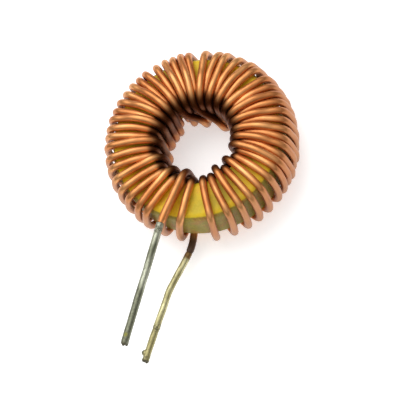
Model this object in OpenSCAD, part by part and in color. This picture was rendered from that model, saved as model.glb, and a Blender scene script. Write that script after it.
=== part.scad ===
// Toroidal inductor: a ring core wound with one length of enamelled copper wire.
// Z is the axis of the core. The origin lies on that axis, in the plane that the winding rests on.
// The wire comes in under the core, goes up through the bore, out over the top, down the side and
// in again underneath, once for each turn, and after the last pass it leaves over the top.
// Its two ends run out along -Y as leads, one above the other, and are coated with solder.

/* [Core] */
// Outer diameter of the core
core_od = 17.5; // [14.5:0.1:21]
// Diameter of the hole through the core
core_id = 9.4; // [7.8:0.1:11.3]
// Height of the core
core_h = 4.83; // [4:0.01:5.8]
// Radius of the core's rounded edges
core_edge_r = 0.8; // [0.4:0.05:1]

/* [Winding] */
// Diameter of the wire over its enamel
wire_d = 0.7; // [0.55:0.01:0.84]
// Space between a turn and what it lies on or beside
wire_gap = 0.02; // [0.01:0.01:0.05]
// Number of times the wire passes through the bore
turns = 49; // [40:1:59]
// How far a turn bows away from the flats and the side of the core
bow = 0.22; // [0:0.01:0.3]
// How far a turn stands off round the outer edges of the core
rim_rise = 0.18; // [0:0.01:0.3]
// How far the two loosest turns, which are near the end, stand off at the mouth of the bore
mouth_rise = 0.65; // [0:0.05:0.8]
// Angle that a side pass drifts on its way down, away from the leads
side_lean = 2.5; // [0:0.5:5]
// Further drift of the side passes beside the leads
lead_pull = 4.5; // [0:0.5:6]
// Angle that a turn riding on two others leans over at the top of the bore
rider_lean = 2; // [0:0.5:3]

/* [Leads] */
// Thickness of the enamel, which is taken off under the solder
enamel = 0.025; // [0.01:0.005:0.04]
// Thickness of the solder on a lead, from the bare copper out
solder = 0.065; // [0.05:0.005:0.12]
// Space between the copper and the solder that coats it
solder_gap = 0.01; // [0.005:0.005:0.02]
// Sideways place of the start lead's straight end
start_x = 0.72; // [0:0.02:2]
// Length of unsoldered wire on the start lead, beyond the winding
start_bare_len = 1.25; // [1:0.05:3]
// Angle of the start lead's slanting stretch
start_slant = 9.5; // [2:0.5:15]
// Length of the start lead's slanting stretch
start_slant_len = 4.4; // [2:0.1:6]
// Length of the start lead's straight end
start_straight_len = 7.6; // [4:0.1:12]
// Angle that the finish lead leaves the winding at
finish_rim_angle = 269.3; // [268:0.1:272]
// Angle between the finish lead and -Y
finish_slant = 2.5; // [0:0.5:8]
// Length of unsoldered wire on the finish lead, beyond the winding
finish_bare_len = 0.75; // [0.5:0.05:3]
// Length of solder on the finish lead
finish_tin_len = 12.4; // [6:0.1:20]

/* [Hidden] */

copper_color = [0.72, 0.42, 0.2];
core_color = [0.87, 0.76, 0.08];
solder_color = [0.58, 0.58, 0.5];

// How the turns crowd and spread as they are wound by hand. Each number is the share of spare room
// that is left after one turn: in the bore, after each turn that lies on the core, and at the
// outer rim, after every turn.
bore_spread = [
    6, 15, 1, 15, 1, 11, 1, 9, 6, 6, 8, 7, 3, 3, 9, 12,
    12, 5, 5, 4, 3, 3, 0, 0, 0, 0, 0, 0, 7, 1
];
rim_spread = [
    15, 4, 10, 6, 7, 8, 4, 8, 5, 1, 4, 3, 3, 4, 4, 3, 1, 7, 3, 2, 1, 1, 14, 9,
    2, 9, 7, 1, 10, 6, 3, 2, 3, 5, 4, 3, 0, 3, 0, 1, 4, 8, 8, 7, 9, 14, 33, 9
];
// Angle of the first pass through the bore, and of the first turn at the outer rim
bore_start = 274;
rim_start = 267.5;
// The first part of the winding has every third turn riding on its neighbours, the next part every
// second turn, and the last part none but the very last turn, which lies on the first one.
third_turns = round(0.2 * turns);
second_turns = round(0.82 * turns);

wire_sides = turns > 53 ? 5 : 6; // sides of the wire's section, fewer where there are many turns
bend_steps = 3; // steps round each bend
slant_room = 1.04; // least spacing of two turns, in pitches, for turns that run at a slant
blend = 0.1; // how softly a turn climbs onto its neighbours, as a share of the pitch squared
shoulder = 0.2; // straight enamelled wire beside the start of the solder
tip_cover = 0.2; // solder beyond the end of the copper
knee_swell = 1.06; // how much thicker the start lead is at its knee
knob_d = 0.5; // stub of solder left on the side of the start lead
knob_out = 0.15; // how far the stub stands out from the lead
knob_back = 0.9; // from the end of the start lead back to the stub
lead_steps = 5; // steps along the curve between a lead and the winding
lead_fade = 8; // how sharply the drift of the side passes fades away from the leads
tuck = 0.45; // how far in the meeting side of two turns lies on the bends of the bore

bare_d = wire_d - 2 * enamel;
tinned_d = bare_d + 2 * solder;
bore_d = bare_d + 2 * solder_gap;
pitch = wire_d + wire_gap;
lay = wire_d / 2 + wire_gap; // from the core's surface to the middle of the wire
r_in = core_id / 2 - lay;
r_out = core_od / 2 + lay;
z_lay = core_h / 2 + lay;
bend_r = core_edge_r + lay;
bend_in = core_id / 2 + core_edge_r; // centres of the rounded edges
bend_out = core_od / 2 - core_edge_r;
bend_z = core_h / 2 - core_edge_r;
start_z = -z_lay;
finish_z = z_lay + pitch + bow;

function total(v, i = 0) = i < len(v) ? v[i] + total(v, i + 1) : 0;

// Running totals of a list, from 0 to the total of all.
function running(v) = [for (i = 0, s = 0; i <= len(v); s = s + (i < len(v) ? v[i] : 0), i = i + 1) s];

// n steps that make up a whole angle: each is the least step and its share of the room to spare.
function steps(shares, n, least, whole) =
    let (picked = [for (i = [0:n - 1]) shares[floor(i * len(shares) / n)]])
    let (spare = (whole - n * least) / total(picked))
    [for (share = picked) least + share * spare];

function rides(w) =
    w == turns - 1 || (w < third_turns ? w % 3 == 2 : w < second_turns && w % 2 == 1);

riders = [for (w = [0:turns - 1]) rides(w) ? 1 : 0];
rank_before = running(riders);
down_count = turns - total(riders);
bore_least = 2 * asin(pitch * slant_room / 2 / r_in);
rim_least = 2 * asin(pitch * slant_room / 2 / r_out);
bore_steps = running(steps(bore_spread, down_count, bore_least, 360));
rim_steps = running(steps(rim_spread, turns - 1, rim_least, 360 + rim_start - finish_rim_angle));

// Angle of each pass through the bore. A turn that rides lies midway between its neighbours.
bore_angle = [
    for (w = [0:turns - 1])
    let (down = w - rank_before[w])
    w == turns - 1 ? bore_start - 360
    : bore_start - (rides(w) ? (bore_steps[down - 1] + bore_steps[down]) / 2 : bore_steps[down])
];
rim_angle = [for (step = rim_steps) rim_start - step];
lean = [for (a = rim_angle) side_lean + lead_pull * pow(max(0, -sin(a)), lead_fade)];

// The start lead in plan: where its slant meets the rim, where its solder starts, its knee
// and its tip.
start_way = [-sin(start_slant), -cos(start_slant)];
start_tin = [start_x - start_slant_len * start_way.x, -r_out - start_bare_len];
start_rim = start_tin - start_bare_len / cos(start_slant) * start_way;
start_knee = start_tin + start_slant_len * start_way;
start_tip = start_knee - [0, start_straight_len];
start_rim_angle = 360 + atan2(start_rim.y, start_rim.x);

// The finish lead in plan.
finish_way = [sin(finish_slant), -cos(finish_slant)];
finish_rim = r_out * [cos(finish_rim_angle), sin(finish_rim_angle)];
finish_tin = finish_rim + finish_bare_len * finish_way;

// Angle of a turn where its section through the core is at p. It follows the radius across the
// faces and the height down the side. The top and the side above the middle belong to turn w,
// and so does the stretch that comes in under the core to its pass through the bore.
function turn_angle(w, p) =
    let (across = (p[0] - r_in) / (r_out - r_in), down = (z_lay - p[1]) / (2 * z_lay))
    let (over = rides(w) && w < turns - 1 ? rider_lean * p[1] / z_lay : 0)
    let (side = p[1] > 0 || (p[1] == 0 && p[4] > 0) ? w : w - 1)
    let (rim = side < 0 ? start_rim_angle : rim_angle[side] - lean[side] * down)
    (1 - across) * (bore_angle[w] - over) + across * rim;

// Distance between two turns, measured round the core.
function beside(w, other, p) =
    let (turn = (turn_angle(w, p) - turn_angle(other, p) + 540) % 360 - 180)
    let (r = p[0] < bend_in ? p[0] - pitch * tuck * (bend_in - p[0]) / bend_r : p[0])
    abs(turn) * PI / 180 * r;

// How far one turn has to rise to clear another at that distance.
function rise(s) =
    let (need = pitch * pitch - s * s)
    sqrt((need + sqrt(need * need + pow(blend * pitch * pitch, 2))) / 2);

function near(w) = [for (step = [-3, -2, -1, 1, 2, 3]) (w + step + turns) % turns];

// Turns lie on the core, ride on those, or where they are crowded ride on the riders too.
function level(w) = rides(w) ? 1 + rank_before[w] % 2 : 0;
function lift(w, p) =
    level(w) == 0 ? 0
    : max([
        for (other = near(w))
        let (s = beside(w, other, p))
        if (level(other) < level(w))
        level(other) == 0 ? rise(s) : s < pitch ? lift(other, p) + rise(s) : 0
    ]);

// How far a turn stands off the core because it is wound loosely: every turn towards the rim, and
// two of them at the top of the bore.
function looseness(w, p) =
    let (across = (p[0] - r_in) / (r_out - r_in), up = (p[1] + z_lay) / (2 * z_lay))
    let (mouth = w == turns - 5 || w == turns - 7 ? mouth_rise * up : 0)
    rim_rise * pow(across, 3) + mouth * pow(1 - across, 3);

// The section of a turn: [radius, height, outward way (2), side of the core, bow].
function bend(x, z, from, to) = [
    for (i = [0:bend_steps])
    let (a = from + (to - from) * i / bend_steps)
    [x + bend_r * cos(a), z + bend_r * sin(a), cos(a), sin(a), 1, 0]
];
function flat(share, side) =
    [bend_in + (bend_out - bend_in) * share, side * z_lay, 0, side, side, bow * 4 * share * (1 - share)];

inward = concat(
    bend(bend_out, -bend_z, 0, -90),
    [flat(0.5, -1)],
    bend(bend_in, -bend_z, -90, -180)
);
outward = concat(
    bend(bend_in, bend_z, 180, 90),
    [flat(0.33, 1), flat(0.67, 1)],
    bend(bend_out, bend_z, 90, 0),
    [[r_out, 0, 1, 0, 1, bow]]
);
inner_bend = len(inward) - bend_steps - 1; // where the last bend of a way in starts
last_flat = bend_steps + 2; // the last point on the top before the outer bend

// A ring of the wire: [middle, outward way, radius].
function ring(w, p) =
    let (a = turn_angle(w, p), out = lift(w, p) + looseness(w, p) + p[5])
    let (r = p[0] + out * p[2])
    [
        [r * cos(a), r * sin(a), p[1] + out * p[3]],
        [p[2] * cos(a), p[2] * sin(a), p[3]],
        wire_d / 2
    ];

// A curve from a to c that leaves towards b and arrives from b.
function curve(a, b, c, t) = (1 - t) * (1 - t) * a + 2 * t * (1 - t) * b + t * t * c;

start_in = [for (i = [inner_bend - 1:len(inward) - 1]) ring(0, inward[i])];
finish_out = [for (i = [0:last_flat - 1]) ring(turns - 1, outward[i])];
start_from = [start_in[0][0].x, start_in[0][0].y];
finish_from = [finish_out[last_flat - 1][0].x, finish_out[last_flat - 1][0].y];

// Rings along the start lead, from its tip in to the core.
function start_ring(p, d) = [[p.x, p.y, start_z], [0, 0, -1], d / 2];
start_copper_tip = start_tip + [0, tip_cover + solder_gap];
start_shoulder = start_tin - shoulder * start_way;
start_lead = concat(
    [for (p = [start_copper_tip, start_knee, start_tin]) start_ring(p, bare_d)],
    [start_ring(start_tin - wire_gap * start_way, wire_d)],
    [
        for (i = [0:lead_steps - 1])
        start_ring(curve(start_shoulder, start_rim, start_from, i / lead_steps), wire_d)
    ]
);

// Rings along the finish lead, from the core out to its tip.
function finish_ring(p, d) = [[p.x, p.y, finish_z], [0, 0, 1], d / 2];
finish_copper_tip = finish_tin + (finish_tin_len - tip_cover - solder_gap) * finish_way;
finish_shoulder = finish_tin - shoulder * finish_way;
finish_lead = concat(
    [
        for (i = [1:lead_steps])
        finish_ring(curve(finish_from, finish_rim, finish_shoulder, i / lead_steps), wire_d)
    ],
    [finish_ring(finish_tin - wire_gap * finish_way, wire_d)],
    [for (p = [finish_tin, finish_copper_tip]) finish_ring(p, bare_d)]
);

wire_rings = concat(
    start_lead,
    start_in,
    [
        for (w = [0:turns - 1])
        each concat(
            w == 0 ? [] : [for (p = inward) ring(w, p)],
            w == turns - 1 ? [] : [for (p = outward) ring(w, p)]
        )
    ],
    finish_out,
    finish_lead
);

function unit(v) = v / norm(v);

// Corners of the wire's section at ring i, square to the way that the wire runs there. A flat side
// faces the core.
function corners(rings, i) =
    let (before = rings[max(0, i - 1)][0], after = rings[min(len(rings) - 1, i + 1)][0])
    let (along = unit(after - before))
    let (side = unit(cross(along, rings[i][1])), out = cross(side, along))
    [
        for (k = [0:wire_sides - 1])
        let (a = 180 + 360 * (k + 0.5) / wire_sides)
        rings[i][0] + rings[i][2] * (sin(a) * side + cos(a) * out)
    ];

wire_points = [for (i = [0:len(wire_rings) - 1]) each corners(wire_rings, i)];
core_z = -min([for (p = wire_points) p.z]); // height of the core's middle above the ground

// A closed skin over points that stand in rings of n along a path.
module sweep(points, n) {
    last = len(points) - n;
    walls = [
        for (i = [0:len(points) / n - 2], k = [0:n - 1])
        let (a = i * n + k, b = i * n + (k + 1) % n)
        each [[a, a + n, b + n], [a, b + n, b]]
    ];
    ends = [
        [for (k = [0:n - 1]) k],
        [for (k = [0:n - 1]) last + n - 1 - k]
    ];
    polyhedron(points, concat(walls, ends));
}

module core() {
    color(core_color)
    translate([0, 0, core_z])
    rotate_extrude($fn = 180)
    translate([core_id / 2, -core_h / 2])
    rounded_section((core_od - core_id) / 2, core_h, core_edge_r);
}

// A rectangle with its corners rounded by four circles.
module rounded_section(w, h, r) {
    translate([r, 0]) square([w - 2 * r, h]);
    translate([0, r]) square([w, h - 2 * r]);
    for (x = [r, w - r], y = [r, h - r]) translate([x, y]) circle(r, $fn = 48);
}

module winding() {
    color(copper_color)
    translate([0, 0, core_z])
    sweep(wire_points, wire_sides);
}

// A round rod from the origin along -Y.
module rod(d, len) {
    rotate([90, 0, 0]) cylinder(h = len, d = d, $fn = 48);
}

// The start lead's slanting stretch and its straight end, with a ball that fills the knee.
module start_rod(d, straight_len) {
    translate(start_tin) rotate(-start_slant) rod(d, start_slant_len);
    translate(start_knee) {
        sphere(d = d * knee_swell, $fn = 48);
        rod(d, straight_len);
    }
}

module start_lead_tinning() {
    color(solder_color)
    translate([0, 0, core_z + start_z])
    difference() {
        union() {
            start_rod(tinned_d, start_straight_len);
            translate(start_tip) sphere(d = tinned_d, $fn = 48);
            translate(start_tip + [0, knob_back]) rotate([0, -90, 0])
            cylinder(h = tinned_d / 2 + knob_out, d = knob_d, $fn = 48);
        }
        start_rod(bore_d, start_straight_len - tip_cover);
    }
}

module finish_lead_tinning() {
    color(solder_color)
    translate([0, 0, core_z + finish_z])
    translate(finish_tin)
    rotate(finish_slant)
    difference() {
        union() {
            rod(tinned_d, finish_tin_len);
            translate([0, -finish_tin_len]) sphere(d = tinned_d, $fn = 48);
        }
        rod(bore_d, finish_tin_len - tip_cover);
    }
}

core();
winding();
start_lead_tinning();
finish_lead_tinning();
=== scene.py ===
import math

import bpy
import numpy as np
from mathutils import Matrix, Vector


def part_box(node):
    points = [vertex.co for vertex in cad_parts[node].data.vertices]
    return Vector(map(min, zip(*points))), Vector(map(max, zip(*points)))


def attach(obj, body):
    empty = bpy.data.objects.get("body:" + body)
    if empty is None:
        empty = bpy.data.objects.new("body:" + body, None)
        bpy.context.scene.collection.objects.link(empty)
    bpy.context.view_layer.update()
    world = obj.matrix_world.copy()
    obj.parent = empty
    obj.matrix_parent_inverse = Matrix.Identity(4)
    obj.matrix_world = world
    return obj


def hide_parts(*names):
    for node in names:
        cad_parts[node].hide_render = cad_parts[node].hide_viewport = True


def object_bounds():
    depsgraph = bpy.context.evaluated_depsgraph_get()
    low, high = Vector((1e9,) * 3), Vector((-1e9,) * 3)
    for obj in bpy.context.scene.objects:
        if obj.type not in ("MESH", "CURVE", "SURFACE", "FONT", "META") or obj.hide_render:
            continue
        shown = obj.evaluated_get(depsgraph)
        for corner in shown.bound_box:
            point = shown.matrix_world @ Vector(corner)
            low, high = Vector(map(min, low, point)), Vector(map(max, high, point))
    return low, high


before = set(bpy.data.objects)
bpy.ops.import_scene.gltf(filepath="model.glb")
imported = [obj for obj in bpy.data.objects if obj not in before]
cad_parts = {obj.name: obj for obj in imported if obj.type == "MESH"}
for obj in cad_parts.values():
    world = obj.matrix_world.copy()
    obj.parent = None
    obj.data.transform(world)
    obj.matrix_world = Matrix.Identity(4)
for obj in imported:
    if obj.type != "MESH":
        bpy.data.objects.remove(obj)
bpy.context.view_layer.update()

mm = 0.001
coreLow, coreHigh = (np.array(corner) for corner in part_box("core"))
coreMiddle = (coreLow + coreHigh) / 2
print("frame loaded", len(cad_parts), "nodes")


def unit(vectors):
    # Each vector divided by its own length.
    return vectors / np.linalg.norm(vectors, axis=-1, keepdims=True)


def ramp(value, length):
    # 0 where value is 0 or less, 1 where it is length or more, and a straight line between.
    return np.clip(value / length, 0, 1)


def evenTurns(count):
    # The angles of count even steps round a circle.
    return np.arange(count) * 2 * math.pi / count


def gridFaces(along, around, closedTube=False):
    # Quads of a grid of rings: points k and k + 1 of ring i are joined to the same points of ring
    # i + 1. A closed tube also has its last ring joined to its first.
    count = along if closedTube else along - 1
    i, k = np.meshgrid(np.arange(count), np.arange(around), indexing="ij")
    after, beside = (i + 1) % along, (k + 1) % around
    quads = [i * around + k, i * around + beside, after * around + beside, after * around + k]
    return np.stack(quads, -1).reshape(-1, 4)


def tubeFaces(along, around):
    # Quads between the rings and one flat face over each end, all facing out.
    start = list(range(around))
    end = list(range((along - 1) * around, along * around))
    return gridFaces(along, around).tolist() + [start[::-1], end]


def makePiece(name, points, faces, finish, uv=None, marks=None):
    # points is (along, around, 3) and uv is (along, around, 2). Each of marks has one number for
    # each point, and a finish reads it by the mark's name.
    mesh = bpy.data.meshes.new(name)
    mesh.from_pydata(points.reshape(-1, 3).tolist(), [], faces)
    mesh.materials.append(finish)
    mesh.polygons.foreach_set("use_smooth", np.ones(len(mesh.polygons), bool))
    if uv is not None:
        layer = mesh.uv_layers.new(name="wireMap")
        corner = np.empty(len(mesh.loops), int)
        mesh.loops.foreach_get("vertex_index", corner)
        layer.data.foreach_set("uv", uv.reshape(-1, 2)[corner].ravel())
    for mark, values in (marks or {}).items():
        attribute = mesh.attributes.new(mark, "FLOAT", "POINT")
        attribute.data.foreach_set("value", values.astype(np.float32).ravel())
    mesh.update()
    piece = bpy.data.objects.new(name, mesh)
    bpy.context.scene.collection.objects.link(piece)
    return piece


def ripple(seed, *axes, lowest=1.0, highest=6.0, count=14):
    # An uneven surface about 0: sine waves whose rates and phases are drawn from seed, added up and
    # divided by the root of their count. An axis that closes on itself is given as an angle, and
    # whole says that its rates are whole numbers.
    draw = np.random.default_rng(seed)
    total = 0
    for wave in range(count):
        phase = draw.uniform(0, 2 * math.pi)
        for axis, whole in axes:
            rate = draw.uniform(lowest, highest) * draw.choice([-1, 1])
            phase = phase + axis * (round(rate / 2) if whole else rate)
        total = total + np.sin(phase)
    return total / math.sqrt(count)


def evenPath(path, step):
    # The same path with its points a step apart: every column is interpolated over the length of
    # the path. Each point then moves to half of itself and a quarter of each of its neighbours.
    length = np.concatenate([[0], np.cumsum(np.linalg.norm(np.diff(path[:, :3], axis=0), axis=1))])
    place = np.linspace(0, length[-1], round(length[-1] / step) + 1)
    even = np.stack([np.interp(place, length, column) for column in path.T], 1)
    soft = even.copy()
    soft[1:-1] = 0.25 * even[:-2] + 0.5 * even[1:-1] + 0.25 * even[2:]
    return soft, place


def sweep(path, around, radius):
    # A round section carried along the path. Columns 0 to 2 of the path are the middle and 3 to 5
    # the outward way. A point is the middle plus the radius times the cosine of its angle outward
    # and the sine of its angle sideways.
    middle = path[:, :3]
    ahead = unit(np.gradient(middle, axis=0))
    side = unit(np.cross(ahead, path[:, 3:6]))
    out = np.cross(side, ahead)
    angle = evenTurns(around)
    radius = np.broadcast_to(np.asarray(radius), (len(path), around))[..., None]
    ring = np.sin(angle)[None, :, None] * side[:, None] + np.cos(angle)[None, :, None] * out[:, None]
    return middle[:, None] + radius * ring


class Signal:
    # A socket that Python sums can use: each operator adds a Math node.
    def __init__(self, finish, socket):
        self.finish, self.socket = finish, socket

    def maths(self, operation, *terms):
        return self.finish.add("ShaderNodeMath", {"operation": operation}, dict(enumerate(terms)))

    def __add__(self, other):
        return self.maths("ADD", self, other)

    def __radd__(self, other):
        return self.maths("ADD", other, self)

    def __sub__(self, other):
        return self.maths("SUBTRACT", self, other)

    def __rsub__(self, other):
        return self.maths("SUBTRACT", other, self)

    def __mul__(self, other):
        return self.maths("MULTIPLY", self, other)

    def __rmul__(self, other):
        return self.maths("MULTIPLY", other, self)


class Finish:
    # A material whose nodes are added one by one.
    def __init__(self, name):
        self.material = bpy.data.materials.new(name)
        self.material.use_nodes = True
        self.tree = self.material.node_tree
        self.tree.nodes.clear()

    def add(self, kind, settings=None, inputs=None, give=None):
        # Adds a node of that kind. Its settings come first, and then its inputs, by name or by
        # number. give names the output that comes back, or else it is the first.
        node = self.tree.nodes.new(kind)
        for name, value in (settings or {}).items():
            setattr(node, name, value)
        sockets = [s for s in node.inputs if s.enabled]
        for name, value in (inputs or {}).items():
            socket = sockets[name] if isinstance(name, int) else next(s for s in sockets if s.name == name)
            if isinstance(value, Signal):
                self.tree.links.new(value.socket, socket)
            elif socket.type == "RGBA":
                socket.default_value = (*value, 1)
            else:
                socket.default_value = value
        outputs = [s for s in node.outputs if s.enabled]
        if outputs:
            return Signal(self, next(s for s in outputs if s.name == give) if give else outputs[0])

    def objectPlace(self):
        return self.add("ShaderNodeTexCoord", give="Object")

    def mark(self, name):
        # The number that the mesh holds for each point under that name.
        return self.add("ShaderNodeAttribute", {"attribute_name": name}, give="Fac")

    def noise(self, where, scale, detail=3, distortion=0):
        return self.add("ShaderNodeTexNoise", None, {
            "Vector": where, "Scale": scale, "Detail": detail, "Roughness": 0.55, "Distortion": distortion,
        })

    def between(self, value, low, high):
        # 0 where value is low or less, 1 where it is high or more.
        settings = {"interpolation_type": "SMOOTHSTEP"}
        return self.add("ShaderNodeMapRange", settings, {"Value": value, "From Min": low, "From Max": high})

    def blend(self, share, first, second):
        # The first colour where share is 0 and the second where it is 1.
        settings = {"data_type": "RGBA", "clamp_factor": True}
        return self.add("ShaderNodeMix", settings, {"Factor": share, "A": first, "B": second})

    def stretch(self, where, scale):
        return self.add("ShaderNodeMapping", None, {"Vector": where, "Scale": scale})

    def bump(self, height, distance, strength):
        inputs = {"Height": height, "Distance": distance, "Strength": strength}
        return self.add("ShaderNodeBump", None, inputs)

    def surface(self, inputs):
        shader = self.add("ShaderNodeBsdfPrincipled", None, inputs)
        self.add("ShaderNodeOutputMaterial", None, {"Surface": shader})
        return self.material


core = {
    "outerDiameter": coreHigh[0] - coreLow[0],
    "holeDiameter": 9.4 * mm,
    "height": coreHigh[2] - coreLow[2],
    "edgeRadius": 0.8 * mm,
    "steps": 240,  # round the axis
    "arcPoints": 9,  # round each edge of the section
    "flatPoints": 5,  # between two edges
    "paintRipple": 0.012 * mm,
    "paintSink": 1.5,  # how far the paint lies inside the plain outline, in ripples
    "rippleSeed": 7,
    "paintColour": (0.87, 0.60, 0.014),
    "thinColour": (0.60, 0.46, 0.02),
    "warmColour": (0.74, 0.36, 0.03),
    # painted shade: the outer side of the ring is coloured darker, a dull olive and a warmer brown
    "shadedSideColour": (0.30, 0.235, 0.03),
    "shadedSideWarmColour": (0.36, 0.18, 0.035),
    "grainColour": (0.86, 0.70, 0.10),
    "cloudScale": 350,  # the scales are in waves to the metre
    "patchScale": 900,
    "patchDistortion": 0.6,
    "grainScale": 5200,
    "roughness": 0.42,
    "grainRoughness": 0.2,
    "specular": 0.3,
    "bumpHeight": 0.03 * mm,
    "bumpStrength": 0.7,
}


def paintedCoreFinish():
    # Paint that is thin in cloudy places and warm in patches. The outer side of the ring, which the
    # mark side gives, is darkened with painted shade in two tones, and a fine grain lies over everything.
    finish = Finish("paintedCore")
    where = finish.objectPlace()
    onShadedSide = finish.mark("side")
    cloudy = finish.noise(where, core["cloudScale"], 4)
    patches = finish.noise(where, core["patchScale"], 3, core["patchDistortion"])
    grain = finish.noise(where, core["grainScale"], 3)
    colour = finish.blend(finish.between(cloudy, 0.42, 0.66), core["paintColour"], core["thinColour"])
    colour = finish.blend(finish.between(patches, 0.55, 0.72) * 0.55, colour, core["warmColour"])
    # painted shade: darker colours on the outer side of the ring, warmer in patches
    side = finish.blend(finish.between(patches, 0.45, 0.62), core["shadedSideColour"], core["shadedSideWarmColour"])
    colour = finish.blend(finish.between(onShadedSide + 0.3 * (cloudy - 0.5), 0.35, 0.6), colour, side)
    colour = finish.blend(finish.between(grain, 0.35, 0.7) * 0.2, colour, core["grainColour"])
    return finish.surface({
        "Base Color": colour,
        "Roughness": core["roughness"] + core["grainRoughness"] * grain,
        "Specular IOR Level": core["specular"],
        "Normal": finish.bump(grain * 0.6 + patches * 0.4, core["bumpHeight"], core["bumpStrength"]),
    })


def coreSurface():
    # A rounded oblong section carried round the axis. The outline goes through four corner arcs and
    # the straight lines between them, and the paint's ripple moves each point along its own outward
    # way. side is the square of how far that way points out from the axis: it says where the core's
    # outer side gets its painted shade.
    inner, outer = core["holeDiameter"] / 2, core["outerDiameter"] / 2
    edge, half = core["edgeRadius"], core["height"] / 2
    quarter = np.linspace(0, math.pi / 2, core["arcPoints"])
    flat = np.linspace(0, 1, core["flatPoints"] + 2)[1:-1]
    corners = [
        (outer - edge, -half + edge, -90), (outer - edge, half - edge, 0),
        (inner + edge, half - edge, 90), (inner + edge, -half + edge, 180),
    ]
    outline, ways = [], []
    for (x, z, degrees), (nextX, nextZ, _) in zip(corners, corners[1:] + corners[:1]):
        angle = quarter + math.radians(degrees)
        way = np.stack([np.cos(angle), np.sin(angle)], 1)
        arc = np.array([x, z]) + edge * way
        first = np.array([nextX, nextZ]) + edge * way[-1]
        outline += [arc, arc[-1] + flat[:, None] * (first - arc[-1])]
        ways += [way, np.repeat(way[-1:], len(flat), 0)]
    outline, ways = np.concatenate(outline), np.concatenate(ways)
    axisTurn = evenTurns(core["steps"])[:, None]
    share = evenTurns(len(outline))[None]
    uneven = ripple(core["rippleSeed"], (axisTurn, True), (share, True), lowest=8, highest=50, count=20)
    height = uneven * core["paintRipple"] - core["paintRipple"] * core["paintSink"]
    shape = outline[None] + height[..., None] * ways[None]
    side = np.broadcast_to(np.clip(ways[:, 0], 0, 1) ** 2, shape.shape[:2])
    r, z = shape[..., 0], shape[..., 1]
    return np.stack([r * np.cos(axisTurn), r * np.sin(axisTurn), z + coreMiddle[2]], -1), side


# The second result says where the core's outer side gets its painted shade.
corePoints, coreShadedSide = coreSurface()
coreFaces = gridFaces(*corePoints.shape[:2], closedTube=True)[:, ::-1].tolist()
corePiece = makePiece("paintedCore", corePoints, coreFaces, paintedCoreFinish(), marks={"side": coreShadedSide})
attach(corePiece, "root")
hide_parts("core")
print("core made", len(corePiece.data.polygons), "faces")


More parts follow.
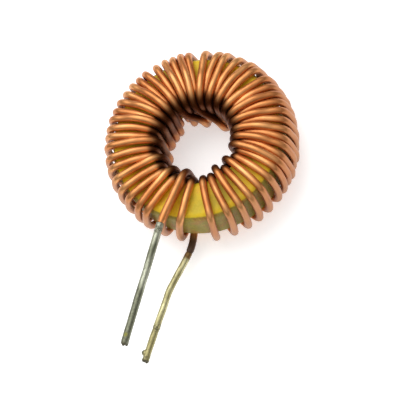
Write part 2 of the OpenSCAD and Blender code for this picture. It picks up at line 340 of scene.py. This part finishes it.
winding = {
    "turns": 49,
    "wireDiameter": 0.7 * mm,
    "wireGap": 0.02 * mm,
    "varnish": 0.03 * mm,
    "coreOfLead": 0.5 * mm,  # the wire's thickness inside the solder
    "solderNeck": 0.25 * mm,  # the length in which it narrows to that
    "wobble": 0.035 * mm,
    "wobbleSeed": 3,
    "thirdRides": 0.2,  # up to this share of the turns every third one rides on its neighbours
    "secondRides": 0.82,  # and from there up to this share every second one
    # Turns that slip sideways over their neighbours on the way up the bore: which turn, how far its
    # foot lies from its place, in degrees, and how far it stands off the turns under it.
    "strays": [(17, -31.0, 0.45 * mm), (21, -42.0, 0.45 * mm)],
    # Where a stray slips and stands off. Each pair is where that begins and the span in which it
    # grows: downwards in half heights of the winding, and inwards in shares of its width.
    "slipDown": (0.8, 1.5),
    "slipIn": (0.5, 0.3),
    "standDown": (0.9, 0.7),
    "standIn": (0.16, 0.12),
    "bow": 0.22 * mm,  # how far a turn bows away from the faces and the side of the core
    "rimRise": 0.18 * mm,  # how far it stands off round the outer edges
    "mouthRise": 0.65 * mm,  # how far the loosest turns stand off at the mouth of the bore
    "looseFromEnd": [5, 7],  # the turns that stand up at the mouth of the bore, from the last
    "sideLean": 2.5,  # degrees that a turn drifts on its way down the side
    "leadPull": 4.5,  # degrees more next to the leads
    "leadFade": 8,  # how sharply that falls away from them, as a power
    "riderLean": 2.0,  # degrees that a riding turn leans in the bore
    "boreStart": 274.0,  # where the first turn is in the bore, in degrees
    "rimStart": 267.5,  # and at the rim
    "finishRimAngle": 269.3,  # where the finish lead passes the rim
    "slantRoom": 1.04,  # the pitch that a slanting turn takes up, in pitches
    "blend": 0.1,  # how softly a turn's lift sets in, in pitches squared
    "tuck": 0.45,  # how far inside the bore the riding is worked out, in pitches
    "bendPoints": 9,  # places round each bend of a turn
    "flatPoints": 7,  # across each face
    "wallPoints": 5,  # up each straight wall
    "leadPoints": 16,  # along the bend into each lead
    "startStations": 4,  # places that the first turn keeps on the lower face
    "finishStations": 5,  # and the last turn on the upper face
    "ringSpacing": 0.3 * mm,
    "sides": 16,
    # How the turns crowd and spread as they are wound by hand: shares of the spare room after each
    # turn that lies on the core, in the bore, and after each turn at the outer rim.
    "boreSpread": [6, 15, 1, 15, 1, 11, 1, 9, 6, 6, 8, 7, 3, 3, 9, 12, 12, 5, 5, 4, 3, 3,
                   0, 0, 0, 0, 0, 0, 7, 1],
    "rimSpread": [15, 4, 10, 6, 7, 8, 4, 8, 5, 1, 4, 3, 3, 4, 4, 3, 1, 7, 3, 2, 1, 1, 14, 9,
                  2, 9, 7, 1, 10, 6, 3, 2, 3, 5, 4, 3, 0, 3, 0, 1, 4, 8, 8, 7, 9, 14, 33, 9],
    "copperColour": (0.65, 0.24, 0.072),
    "deepColour": (0.30, 0.09, 0.03),
    "paleColour": (0.88, 0.43, 0.16),
    # painted shade: a duller colour down the outer side and at the foot of the bore, and a near black
    # inside the bore
    "dullAndShadeColour": (0.40, 0.175, 0.08),
    "boreShadeColour": (0.075, 0.014, 0.003),
    "burntColour": (0.085, 0.04, 0.014),
    # Where painted shade darkens the bore, where painted shade dulls the outer side and the foot of
    # the bore, and where the varnish is burnt. Each pair is where that begins and the span in which it
    # grows or fades, in radii of a bend across the winding, in half heights up it, and in millimetres
    # along the lead.
    "boreShadeIn": (0.15, 0.5),
    "boreShadeUp": (-0.75, 0.7),
    "boreShadeTop": (1.25, 0.3),
    "sideShadeOut": (0.3, 0.6),
    "sideShadeTop": (1.02, 0.3),
    "footShadeIn": 0.4,
    "footShadeTop": (-0.25, 0.5),
    "burntAlong": (2.2, 1.0),
    "burntStretch": 22 * mm,  # only this first length of the wire can be burnt
    "streakStretch": (0.6, 9.0, 1.0),
    "toneScale": 260,
    "speckScale": 3600,
    "roughness": 0.36,
    "streakRoughness": 0.18,
    "burntRoughness": 0.15,
    "coat": 0.18,
    "boreShadeCoat": 0.16,
    "coatRoughness": 0.25,
    "coatIor": 1.55,
    "bumpHeight": 0.02 * mm,
    "bumpStrength": 0.4,
}

leads = {
    "startX": 0.72 * mm,  # how far aside the straight end of the start lead lies
    "startBareLength": 1.25 * mm,  # from the rim to the solder
    "startSlant": 9.5,  # degrees, up to the knee
    "startSlantLength": 4.4 * mm,  # from the lip of the solder to the knee
    "startStraightLength": 7.6 * mm,  # from the knee to the tip
    "finishSlant": 2.5,
    "finishBareLength": 0.75 * mm,
    "finishTinLength": 12.4 * mm,
    "tipCover": 0.2 * mm,  # how far the solder runs on past the end of the wire
}

pitch = winding["wireDiameter"] + winding["wireGap"]
lay = winding["wireDiameter"] / 2 + winding["wireGap"]
innerR = core["holeDiameter"] / 2 - lay
outerR = core["outerDiameter"] / 2 + lay
layZ = core["height"] / 2 + lay
bendR = core["edgeRadius"] + lay
bendIn = core["holeDiameter"] / 2 + core["edgeRadius"]
bendOut = core["outerDiameter"] / 2 - core["edgeRadius"]
bendZ = core["height"] / 2 - core["edgeRadius"]
startZ = -layZ
finishZ = layZ + pitch + winding["bow"]
turns = winding["turns"]
turn = np.arange(turns)


def crowding(shares, count, least, whole):
    # Running angles of count steps: each is the least step and its share of the room to spare.
    picked = np.array(shares, float)[np.arange(count) * len(shares) // count]
    steps = least + picked * (whole - count * least) / picked.sum()
    return np.concatenate([[0], np.cumsum(steps)])


def leastAngle(radius):
    # The angle at the axis between two turns that touch at that radius: twice the arcsine of half
    # the pitch over the radius, with a little more pitch because the turns slant.
    return 2 * math.degrees(math.asin(pitch * winding["slantRoom"] / 2 / radius))


thirdTurns, secondTurns = round(winding["thirdRides"] * turns), round(winding["secondRides"] * turns)
rides = np.where(turn < thirdTurns, turn % 3 == 2, (turn < secondTurns) & (turn % 2 == 1))
rides[-1] = True
rankBefore = np.cumsum(rides) - rides
down = turn - rankBefore
boreSteps = crowding(winding["boreSpread"], int(turns - rides.sum()), leastAngle(innerR), 360)
rimSweep = 360 + winding["rimStart"] - winding["finishRimAngle"]
rimSteps = crowding(winding["rimSpread"], turns - 1, leastAngle(outerR), rimSweep)
ownStep = np.where(rides, (boreSteps[down - 1] + boreSteps[down]) / 2, boreSteps[down])
boreAngle = winding["boreStart"] - ownStep
boreAngle[-1] = winding["boreStart"] - 360
rimAngle = winding["rimStart"] - rimSteps
towardsLeads = np.maximum(0, -np.sin(np.radians(rimAngle)))
lean = winding["sideLean"] + winding["leadPull"] * towardsLeads ** winding["leadFade"]
level = np.where(rides, 1 + rankBefore % 2, 0)

startSlant, finishSlant = math.radians(leads["startSlant"]), math.radians(leads["finishSlant"])
startWay = -np.array([math.sin(startSlant), math.cos(startSlant)])
startTinX = leads["startX"] - leads["startSlantLength"] * startWay[0]
startTin = np.array([startTinX, -outerR - leads["startBareLength"]])
startRim = startTin - leads["startBareLength"] / math.cos(startSlant) * startWay
startKnee = startTin + leads["startSlantLength"] * startWay
startTip = startKnee - [0, leads["startStraightLength"]]
startRimAngle = 360 + math.degrees(math.atan2(startRim[1], startRim[0]))
finishRimTurn = math.radians(winding["finishRimAngle"])
finishWay = np.array([math.sin(finishSlant), -math.cos(finishSlant)])
finishRim = outerR * np.array([math.cos(finishRimTurn), math.sin(finishRimTurn)])
finishTin = finishRim + leads["finishBareLength"] * finishWay
finishTip = finishTin + leads["finishTinLength"] * finishWay


# Stations are the places that every turn goes through in the section of the ring. Their columns are
# the radius, the height, the outward way along each, which half of the winding the place is in (1 is
# the upper half where the height is 0), and how far a turn bows out there.

def turnAngle(w, stations):
    # A turn's angle moves from its place in the bore to its place at the rim, in step with the
    # radius across the faces and with the height down the side.
    r, z, side = stations[:, 0], stations[:, 1], stations[:, 4]
    across, fall = (r - innerR) / (outerR - innerR), (layZ - z) / (2 * layZ)
    over = np.where(rides[w] & (w < turns - 1), winding["riderLean"], 0)[:, None] * z / layZ
    upper = (z > 0) | ((z == 0) & (side > 0))
    before = w[:, None] - np.where(upper, 0, 1)
    known = np.maximum(before, 0)
    rim = np.where(before < 0, startRimAngle, rimAngle[known] - lean[known] * fall)
    return (1 - across) * (boreAngle[w][:, None] - over) + across * rim


def rise(apart):
    # How far a turn has to rise to clear another that lies that far away round the core: the root
    # of the pitch squared less the distance squared. The inner root rounds off its fall to nought.
    need = pitch ** 2 - apart ** 2
    return np.sqrt((need + np.sqrt(need ** 2 + (winding["blend"] * pitch ** 2) ** 2)) / 2)


def turnLift(stations):
    # Turns lie on the core, ride on those, or where they are crowded ride on the riders too: the
    # lift is the most that any of the three turns on either side asks for.
    angle = turnAngle(turn, stations)
    r = stations[:, 0]
    r = np.where(r < bendIn, r - pitch * winding["tuck"] * (bendIn - r) / bendR, r)
    lift = np.zeros((turns, len(stations)))
    for height in (1, 2):
        found = lift.copy()
        for step in (-3, -2, -1, 1, 2, 3):
            other = (turn + step) % turns
            apart = np.abs((angle - angle[other] + 540) % 360 - 180) * math.pi / 180 * r
            onCore = (level[other] == 0)[:, None]
            onRider = (level[other] == 1)[:, None] & (height == 2) & (apart < pitch)
            need = np.where(onCore, rise(apart), np.where(onRider, lift[other] + rise(apart), 0))
            found = np.maximum(found, need)
        lift = np.where((level == height)[:, None], found, lift)
    return lift, angle


def bend(x, z, start, end):
    # Stations round a bend of the section: an arc about x and z from one angle to the other.
    angle = np.radians(np.linspace(start, end, winding["bendPoints"]))
    one = np.ones(len(angle))
    way = np.cos(angle), np.sin(angle)
    return np.stack([x + bendR * way[0], z + bendR * way[1], *way, one, 0 * one], 1)


def flatRun(side, shares):
    # Stations straight across a face, from share 0 at the bore to share 1 at the rim. The bow is a
    # parabola with its full height half way.
    one = np.ones(len(shares))
    bow = winding["bow"] * 4 * shares * (1 - shares)
    r = bendIn + (bendOut - bendIn) * shares
    return np.stack([r, side * layZ * one, 0 * one, side * one, side * one, bow], 1)


def wallRun(radius, way, share, bow):
    # Stations up a straight wall, with share 0 at its lower end and 1 at its upper end.
    one = np.ones(len(share))
    bowed = bow * 4 * share * (1 - share)
    return np.stack([radius * one, bendZ * (2 * share - 1), way * one, 0 * one, one, bowed], 1)


flat = np.linspace(0, 1, winding["flatPoints"] + 2)[1:-1]
wall = np.linspace(0, 1, winding["wallPoints"] + 2)[1:-1]
inward = np.concatenate([
    wallRun(outerR, 1, wall[wall < 0.5][::-1], winding["bow"]),
    bend(bendOut, -bendZ, 0, -90), flatRun(-1, flat[::-1]), bend(bendIn, -bendZ, -90, -180),
])
upBore = wallRun(innerR, -1, wall, 0)
overTop = np.concatenate([bend(bendIn, bendZ, 180, 90), flatRun(1, flat)])
downSide = np.concatenate([
    bend(bendOut, bendZ, 90, 0), wallRun(outerR, 1, wall[wall >= 0.5][::-1], winding["bow"]),
])


def fading(name, value):
    # 1 where value is far below the place that the winding names, falling to 0 there.
    begins, span = winding[name]
    return ramp(begins - value, span)


def laid(stations):
    # Middles and outward ways of every turn at these stations, about the core's own middle. A turn
    # moves out by its lift, its bow and its looseness, and a stray's angle slips as it goes down.
    lift, angle = turnLift(stations)
    a = np.radians(angle)
    across = (stations[:, 0] - innerR) / (outerR - innerR)
    up = stations[:, 1] / layZ
    isLoose = np.isin(turn, turns - np.array(winding["looseFromEnd"]))[:, None]
    mouth = isLoose * winding["mouthRise"] * (stations[:, 1] + layZ) / (2 * layZ)
    loose = winding["rimRise"] * across ** 3 + mouth * (1 - across) ** 3
    fallen = fading("slipDown", up)
    slipped = fallen ** 2 * (3 - 2 * fallen) * fading("slipIn", across)
    standing = fading("standDown", up) * fading("standIn", across)
    for which, degrees, stand in winding["strays"]:
        a[which] += math.radians(degrees) * slipped
        loose[which] += stand * standing
    out = lift + stations[:, 5] + loose
    r = stations[:, 0] + out * stations[:, 2]
    z = stations[:, 1] + out * stations[:, 3]
    outX, outY = stations[:, 2] * np.cos(a), stations[:, 2] * np.sin(a)
    return np.stack([r * np.cos(a), r * np.sin(a), z, outX, outY, stations[:, 3] + 0 * a], -1)


def curve(first, towards, last, t):
    # A curve that leaves first towards a point and arrives at last from it: the three places in
    # shares of (1 - t) squared, 2 t (1 - t) and t squared.
    t = t[:, None]
    return (1 - t) ** 2 * first + 2 * t * (1 - t) * towards + t ** 2 * last


def levelPath(points, z, way):
    # Flat points at one height, with their outward way straight up or down.
    one = np.ones(len(points))
    return np.stack([points[:, 0], points[:, 1], z * one, 0 * one, 0 * one, way * one], 1)


inwardAll, upAll, topAll, sideAll = laid(inward), laid(upBore), laid(overTop), laid(downSide)
bottomIn = inwardAll[0][-winding["bendPoints"] - winding["startStations"]:]
topOut = topAll[-1][:winding["bendPoints"] + winding["finishStations"]]
t = np.linspace(0, 1, winding["leadPoints"])
startLeadIn = levelPath(curve(startTin, startRim, bottomIn[0, :2], t)[:-1], startZ, -1)
finishLeadOut = levelPath(curve(topOut[-1, :2], finishRim, finishTin, t)[1:], finishZ, 1)
startTail = levelPath(np.array([startTip + [0, leads["tipCover"]], startKnee]), startZ, -1)
finishTail = levelPath(np.array([finishTip - leads["tipCover"] * finishWay]), finishZ, 1)
stretches = [startTail, startLeadIn, bottomIn, upAll[0], topAll[0], sideAll[0]]
for w in range(1, turns - 1):
    stretches += [inwardAll[w], upAll[w], topAll[w], sideAll[w]]
stretches += [inwardAll[-1], upAll[-1], topOut, finishLeadOut, finishTail]


def copperFinish():
    # Copper with pale and deep tones, streaks along the wire and fine specks. Three marks say where
    # painted shade darkens the bore, where painted shade dulls the outer side and the foot of the bore,
    # and where the varnish is scorched.
    finish = Finish("enamelledCopper")
    where = finish.objectPlace()
    wireMap = finish.add("ShaderNodeUVMap", {"uv_map": "wireMap"})
    burnt = finish.mark("burnt")
    boreShade = finish.mark("boreShade")
    sideAndFootShade = finish.mark("sideAndFootShade")
    streaks = finish.noise(finish.stretch(wireMap, winding["streakStretch"]), 1.0, 3)
    tone = finish.noise(where, winding["toneScale"], 3)
    specks = finish.noise(where, winding["speckScale"], 3)
    # painted shade inside the bore, broken up by the streaks
    boreShadeShare = finish.between(boreShade + 0.5 * (streaks - 0.5), 0.2, 1.0) * 0.85
    colour = finish.blend(finish.between(tone, 0.35, 0.68), winding["copperColour"], winding["paleColour"])
    colour = finish.blend(finish.between(streaks, 0.52, 0.74) * 0.5, colour, winding["deepColour"])
    colour = finish.blend(finish.between(specks, 0.62, 0.75) * 0.3, colour, winding["deepColour"])
    colour = finish.blend(boreShadeShare, colour, winding["boreShadeColour"])
    # painted shade: a duller colour down the outer side and at the foot of the bore
    colour = finish.blend(sideAndFootShade * (0.45 + 0.6 * tone), colour, winding["dullAndShadeColour"])
    colour = finish.blend(burnt, colour, winding["burntColour"])
    uneven = winding["streakRoughness"] * streaks + winding["burntRoughness"] * burnt
    return finish.surface({
        "Base Color": colour,
        "Metallic": 1 - 0.6 * burnt,
        "Roughness": winding["roughness"] + uneven,
        "Coat Weight": winding["coat"] - winding["boreShadeCoat"] * boreShade,
        "Coat Roughness": winding["coatRoughness"],
        "Coat IOR": winding["coatIor"],
        "Normal": finish.bump(streaks, winding["bumpHeight"], winding["bumpStrength"]),
    })


def wireMarks(path, place):
    # How far each ring of the wire is burnt, or darkened by painted shade. Painted shade makes it dark
    # in the bore and dull down the outer side and at the foot of the bore, and it is burnt next to the
    # lower lead.
    reach = np.hypot(path[:, 0], path[:, 1])
    height = (path[:, 2] - coreMiddle[2]) / layZ
    fromStartTin = (path[:, 1] + outerR + leads["startBareLength"]) / mm
    burnt = np.where(place < winding["burntStretch"], fading("burntAlong", fromStartTin), 0)
    # painted shade inside the bore
    begins, span = winding["boreShadeIn"]
    boreShade = ramp(bendIn - begins * bendR - reach, span * bendR)
    begins, span = winding["boreShadeUp"]
    boreShade = boreShade * ramp(height - begins, span) * fading("boreShadeTop", height)
    # painted shade down the outer side and at the foot of the bore
    begins, span = winding["sideShadeOut"]
    sideAndFootShade = ramp(reach - bendOut - begins * bendR, span * bendR) * fading("sideShadeTop", height)
    sideAndFootShade = np.where(path[:, 1] < -outerR - winding["wireDiameter"], 0, sideAndFootShade)
    footShade = ramp(bendIn - reach, winding["footShadeIn"] * bendR) * fading("footShadeTop", height)
    return {"burnt": burnt, "boreShade": boreShade, "sideAndFootShade": np.maximum(sideAndFootShade, footShade)}


wirePath, place = evenPath(np.concatenate(stretches), winding["ringSpacing"])
wirePath[:, 2] += coreMiddle[2]
wireRadius = winding["wireDiameter"] / 2 + winding["varnish"]
pastStart = place - np.linalg.norm(startTip - startKnee) - leads["startSlantLength"]
beforeFinish = place[-1] - place - leads["finishTinLength"]
inSolder = ramp(-np.minimum(pastStart, beforeFinish), winding["solderNeck"])
sideways = unit(np.cross(unit(np.gradient(wirePath[:, :3], axis=0)), wirePath[:, 3:6]))
uneven = ripple(winding["wobbleSeed"], (place / mm, False), lowest=0.15, highest=0.9)
wirePath[:, :3] += (winding["wobble"] * uneven * (1 - inSolder))[:, None] * sideways
ringRadius = wireRadius + (winding["coreOfLead"] / 2 - wireRadius) * inSolder
wirePoints = sweep(wirePath, winding["sides"], ringRadius[:, None])
rings, sides = wirePoints.shape[:2]
# Across the map goes from 1 on the outward side of the wire to 0 on the inward side and back, so
# that the streaks meet where the map closes.
across = np.broadcast_to(np.abs(np.arange(sides) / sides * 2 - 1)[None], (rings, sides))
wireUv = np.stack([np.broadcast_to((place / mm)[:, None], (rings, sides)), across], -1)
marks = {name: values[:, None] * np.ones(sides) for name, values in wireMarks(wirePath, place).items()}
windingPiece = makePiece(
    "enamelledWinding", wirePoints, tubeFaces(rings, sides), copperFinish(), wireUv, marks,
)
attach(windingPiece, "root")
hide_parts("winding")
print("winding made", rings, "rings, wire", round(place[-1] / mm), "mm long")


tinning = {
    "ringSpacing": 0.08 * mm,
    "sides": 28,
    "lumps": 0.012 * mm,
    "calmLumps": 0.35,  # the share of the fine lumps away from rough places
    "lipLength": 0.15 * mm,  # the solder is drawn in at the lip where it stops
    "lipWidth": 0.93,
    "cutLength": 0.16 * mm,  # and closes in to this width at the cut end
    "cutWidth": 0.55,
    "roughSpread": 0.45 * mm,
    "tipRough": 0.8,
    "tipRoughSpread": 0.6 * mm,
    "raggedPush": 0.1 * mm,
    "tipLength": 0.5 * mm,
    "stubDiameter": 0.5 * mm,
    "stubOut": 0.26 * mm,
    "dimpleRadius": 0.2 * mm,
    "dimpleDepth": 0.05 * mm,
    "kneeBack": 0.6 * mm,
    "kneePoints": 9,
    "finishOverrun": 0.3 * mm,
    "patchScale": 1100,
    "patchStretch": (1.0, 0.3, 1.0),
    "pitScale": 5200,
    "stubColour": (0.12, 0.125, 0.09),
    "pitColour": (0.10, 0.09, 0.05),
    "scorchColour": (0.20, 0.12, 0.045),
    "dimpleColour": (0.20, 0.19, 0.05),
    "metal": 0.9,
    "roughness": 0.27,
    "bumpHeight": 0.05 * mm,
    "bumpStrength": 0.9,
}

# The places on a lead are measured back from its tip, and 0 leaves that feature out.
startSolder = {
    "diameter": 0.70 * mm,
    "seed": 21,
    "colour": (0.62, 0.58, 0.33),
    "dullAndShadeColour": (0.36, 0.32, 0.15),
    "scorchedLength": 0.7 * mm,
    "roughAt": 3.6 * mm,
    "dimpleAt": 0,
    "stubAt": 0.9 * mm,
}

finishSolder = {
    "diameter": 0.76 * mm,
    "seed": 31,
    "colour": (0.42, 0.43, 0.33),
    "dullAndShadeColour": (0.17, 0.175, 0.12),
    "scorchedLength": 0.02 * mm,
    "roughAt": 12 * mm,
    "dimpleAt": 1.0 * mm,
    "stubAt": 0,
}


def solderFinish(name, lead):
    # Solder that is dull in patches drawn out along the lead. Fine pits darken it where it is rough
    # and at its cut end, and the dimple, the stub and the scorched lip have colours of their own.
    finish = Finish(name)
    where = finish.objectPlace()
    patches = finish.noise(finish.stretch(where, tinning["patchStretch"]), tinning["patchScale"], 3)
    pits = finish.noise(where, tinning["pitScale"], 3)
    rough = finish.mark("rough")
    ends = finish.mark("ends")
    scorched = finish.mark("scorched")
    dimple = finish.mark("dimple")
    stub = finish.mark("stub")
    pitted = finish.between(pits + 0.22 * rough, 0.62, 0.76) * 0.75
    burnt = finish.between(scorched + 0.5 * (pits - 0.5), 0.3, 0.75)
    dirty = finish.between(ends + 1.2 * (pits - 0.5), 0.45, 0.8)
    colour = finish.blend(finish.between(patches, 0.38, 0.66), lead["dullAndShadeColour"], lead["colour"])
    colour = finish.blend(pitted, colour, tinning["pitColour"])
    colour = finish.blend(dimple, colour, tinning["dimpleColour"])
    colour = finish.blend(finish.between(stub, 0.3, 0.7) * 0.8, colour, tinning["stubColour"])
    colour = finish.blend(burnt, colour, tinning["scorchColour"])
    colour = finish.blend(dirty, colour, tinning["pitColour"])
    return finish.surface({
        "Base Color": colour,
        "Metallic": tinning["metal"] - 0.5 * ends - 0.7 * stub,
        "Roughness": tinning["roughness"] + 0.22 * pits + 0.2 * rough + 0.3 * stub,
        "Normal": finish.bump(pits + patches, tinning["bumpHeight"], tinning["bumpStrength"]),
    })


def solderedLead(name, node, points, z, way, lead, finish):
    # A round section carried along the lead. Its radius swells and thins in slow lumps and fine
    # ones, is drawn in at the lip, and closes unevenly at the cut end.
    path, place = evenPath(levelPath(points, z + coreMiddle[2], way), tinning["ringSpacing"])
    fromTip = place[-1] - place
    angle = evenTurns(tinning["sides"])
    along = ((place / mm)[:, None], False)
    slow = ripple(lead["seed"], along, (angle[None], True), lowest=0.6, highest=3.5)
    fine = ripple(lead["seed"] + 1, along, (angle[None], True), lowest=3, highest=9)
    rough = np.exp(-((fromTip - lead["roughAt"]) / tinning["roughSpread"]) ** 2)
    rough = (rough + tinning["tipRough"] * np.exp(-(fromTip / tinning["tipRoughSpread"]) ** 2))[:, None]
    lip = ramp(place, tinning["lipLength"]) ** 0.5
    cut = ramp(fromTip, tinning["cutLength"]) ** 0.5
    radius = lead["diameter"] / 2 * (tinning["lipWidth"] + (1 - tinning["lipWidth"]) * lip)[:, None]
    radius = radius + tinning["lumps"] * (slow + (tinning["calmLumps"] + rough) * fine)
    # a round dimple on the upper side, near the tip
    upper = 0 if way > 0 else math.pi
    aside = ((angle[None] - upper + math.pi) % (2 * math.pi) - math.pi) * lead["diameter"] / 2
    fromDimple = np.hypot((fromTip - lead["dimpleAt"])[:, None], aside) / tinning["dimpleRadius"]
    dimple = np.clip(1.5 - fromDimple, 0, 1) if lead["dimpleAt"] else 0 * fromDimple
    radius = radius - tinning["dimpleDepth"] * dimple
    # the stub of a broken thread of solder, on the -x side
    beside = (angle[None] - 1.5 * math.pi) * lead["diameter"] / 2
    fromStub = np.hypot((fromTip - lead["stubAt"])[:, None], beside) / (tinning["stubDiameter"] / 2)
    stub = np.clip(1.6 - 1.2 * fromStub, 0, 1) ** 0.7 if lead["stubAt"] else 0 * fromStub
    radius = radius + tinning["stubOut"] * stub
    radius = radius * (tinning["cutWidth"] + (1 - tinning["cutWidth"]) * cut)[:, None]
    skin = sweep(path, tinning["sides"], radius)
    # the end is ragged: its last rings are pushed in and out along the lead
    ahead = unit(path[-1, :3] - path[-3, :3])
    ragged = ripple(lead["seed"] + 2, (angle, True), lowest=2, highest=9, count=9)
    atTip = np.clip(1 - fromTip / tinning["tipLength"], 0, 1)
    skin = skin + ((atTip ** 2)[:, None] * ragged[None] * tinning["raggedPush"])[..., None] * ahead
    every = np.ones(tinning["sides"])
    marks = {
        "ends": atTip[:, None] * every,
        "scorched": np.clip(1.5 - place / lead["scorchedLength"], 0, 1)[:, None] * every,
        "rough": rough * every,
        "dimple": dimple,
        "stub": stub,
    }
    piece = makePiece(name, skin, tubeFaces(*skin.shape[:2]), finish, marks=marks)
    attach(piece, "root")
    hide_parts(node)
    return piece


kneeStart, kneeEnd = startKnee - tinning["kneeBack"] * startWay, startKnee - [0, tinning["kneeBack"]]
knee = curve(kneeStart, startKnee, kneeEnd, np.linspace(0, 1, tinning["kneePoints"]))
startCourse = np.concatenate([startTin[None], knee, startTip[None]])
finishCourse = np.array([finishTin, finishTip + tinning["finishOverrun"] * finishWay])
solderedLead(
    "startLeadSolder", "start_lead_tinning", startCourse, startZ, -1,
    startSolder, solderFinish("startSolder", startSolder),
)
solderedLead(
    "finishLeadSolder", "finish_lead_tinning", finishCourse, finishZ, 1,
    finishSolder, solderFinish("finishSolder", finishSolder),
)
print("leads made")


studio = {
    "floorHalf": 1.2,
    "floorColour": (0.93, 0.93, 0.93),
    "floorRoughness": 0.9,
    "floorGlow": 0.5,
    "keyAzimuth": 150,
    "keyElevation": 62,
    "keyDistance": 0.5,
    "keySize": 0.55,
    "keyPower": 1.5,
    "domeStrength": 0.85,
    "horizonStrength": 0.06,
    "domeFrom": 0.15,
    "domeTo": 0.9,
    "cameraAzimuth": -42.0,
    "cameraElevation": 63.675,
    "cameraDistance": 195.18 * mm,
    "cameraAim": (1.696 * mm, -5.557 * mm),
    "cameraRoll": -33.954,
    "cameraLens": 174.37,
    "cameraNear": 0.01,
    "cameraFar": 10,
    "sensor": 36.0,
}


def makeFloor():
    # A pale square under the lowest point of the object, glowing a little so that it stays white.
    finish = Finish("floorPaper")
    half, low = studio["floorHalf"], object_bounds()[0][2]
    corners = [(-half, -half, low), (half, -half, low), (half, half, low), (-half, half, low)]
    mesh = bpy.data.meshes.new("floor")
    mesh.from_pydata(corners, [], [(0, 1, 2, 3)])
    mesh.materials.append(finish.surface({
        "Base Color": studio["floorColour"], "Roughness": studio["floorRoughness"],
        "Emission Color": (1.0, 1.0, 1.0), "Emission Strength": studio["floorGlow"],
    }))
    floor = bpy.data.objects.new("floor", mesh)
    bpy.context.scene.collection.objects.link(floor)


def placeAround(azimuth, elevation, distance):
    # The place that lies that far from the middle of the core in the direction of the two angles.
    a, e = math.radians(azimuth), math.radians(elevation)
    way = Vector((math.cos(e) * math.cos(a), math.cos(e) * math.sin(a), math.sin(e)))
    return Vector(coreMiddle) + distance * way


def aimedAt(place, target, roll=0.0):
    # Turns an object's -Z to the target, with its X level, and then rolls it about its view.
    ahead = (Vector(target) - Vector(place)).normalized()
    right = ahead.cross(Vector((0, 0, 1))).normalized()
    up = right.cross(ahead)
    a = math.radians(roll)
    right, up = right * math.cos(a) + up * math.sin(a), up * math.cos(a) - right * math.sin(a)
    turned = Matrix((right, up, -ahead)).transposed().to_4x4()
    turned.translation = Vector(place)
    return turned


def makeKeyLight():
    # A round soft light that faces the core.
    data = bpy.data.lights.new("keyLight", "AREA")
    data.shape, data.size, data.energy = "DISK", studio["keySize"], studio["keyPower"]
    light = bpy.data.objects.new("keyLight", data)
    place = placeAround(studio["keyAzimuth"], studio["keyElevation"], studio["keyDistance"])
    light.matrix_world = aimedAt(place, coreMiddle)
    bpy.context.scene.collection.objects.link(light)


def makeAir():
    # A soft dome: bright overhead, falling to almost nothing towards the horizon.
    world = bpy.data.worlds.new("studioAir")
    world.use_nodes = True
    tree = world.node_tree
    where = tree.nodes.new("ShaderNodeTexCoord")
    parts = tree.nodes.new("ShaderNodeSeparateXYZ")
    fade = tree.nodes.new("ShaderNodeMapRange")
    fade.interpolation_type = "SMOOTHSTEP"
    fade.inputs["From Min"].default_value = studio["domeFrom"]
    fade.inputs["From Max"].default_value = studio["domeTo"]
    fade.inputs["To Min"].default_value = studio["horizonStrength"]
    fade.inputs["To Max"].default_value = studio["domeStrength"]
    tree.links.new(where.outputs["Generated"], parts.inputs[0])
    tree.links.new(parts.outputs["Z"], fade.inputs["Value"])
    tree.links.new(fade.outputs[0], tree.nodes["Background"].inputs["Strength"])
    tree.nodes["Background"].inputs["Color"].default_value = (1, 1, 1, 1)
    bpy.context.scene.world = world


def makeCamera():
    # A long lens that looks past the middle of the core and is rolled about its view.
    data = bpy.data.cameras.new("camera")
    data.lens, data.sensor_width = studio["cameraLens"], studio["sensor"]
    data.clip_start, data.clip_end = studio["cameraNear"], studio["cameraFar"]
    camera = bpy.data.objects.new("camera", data)
    place = placeAround(studio["cameraAzimuth"], studio["cameraElevation"], studio["cameraDistance"])
    target = Vector(coreMiddle) + Vector((*studio["cameraAim"], 0))
    camera.matrix_world = aimedAt(place, target, studio["cameraRoll"])
    bpy.context.scene.collection.objects.link(camera)
    bpy.context.scene.camera = camera


makeFloor()
makeKeyLight()
makeAir()
makeCamera()
bpy.context.scene.view_settings.view_transform = "Standard"
print("studio set")
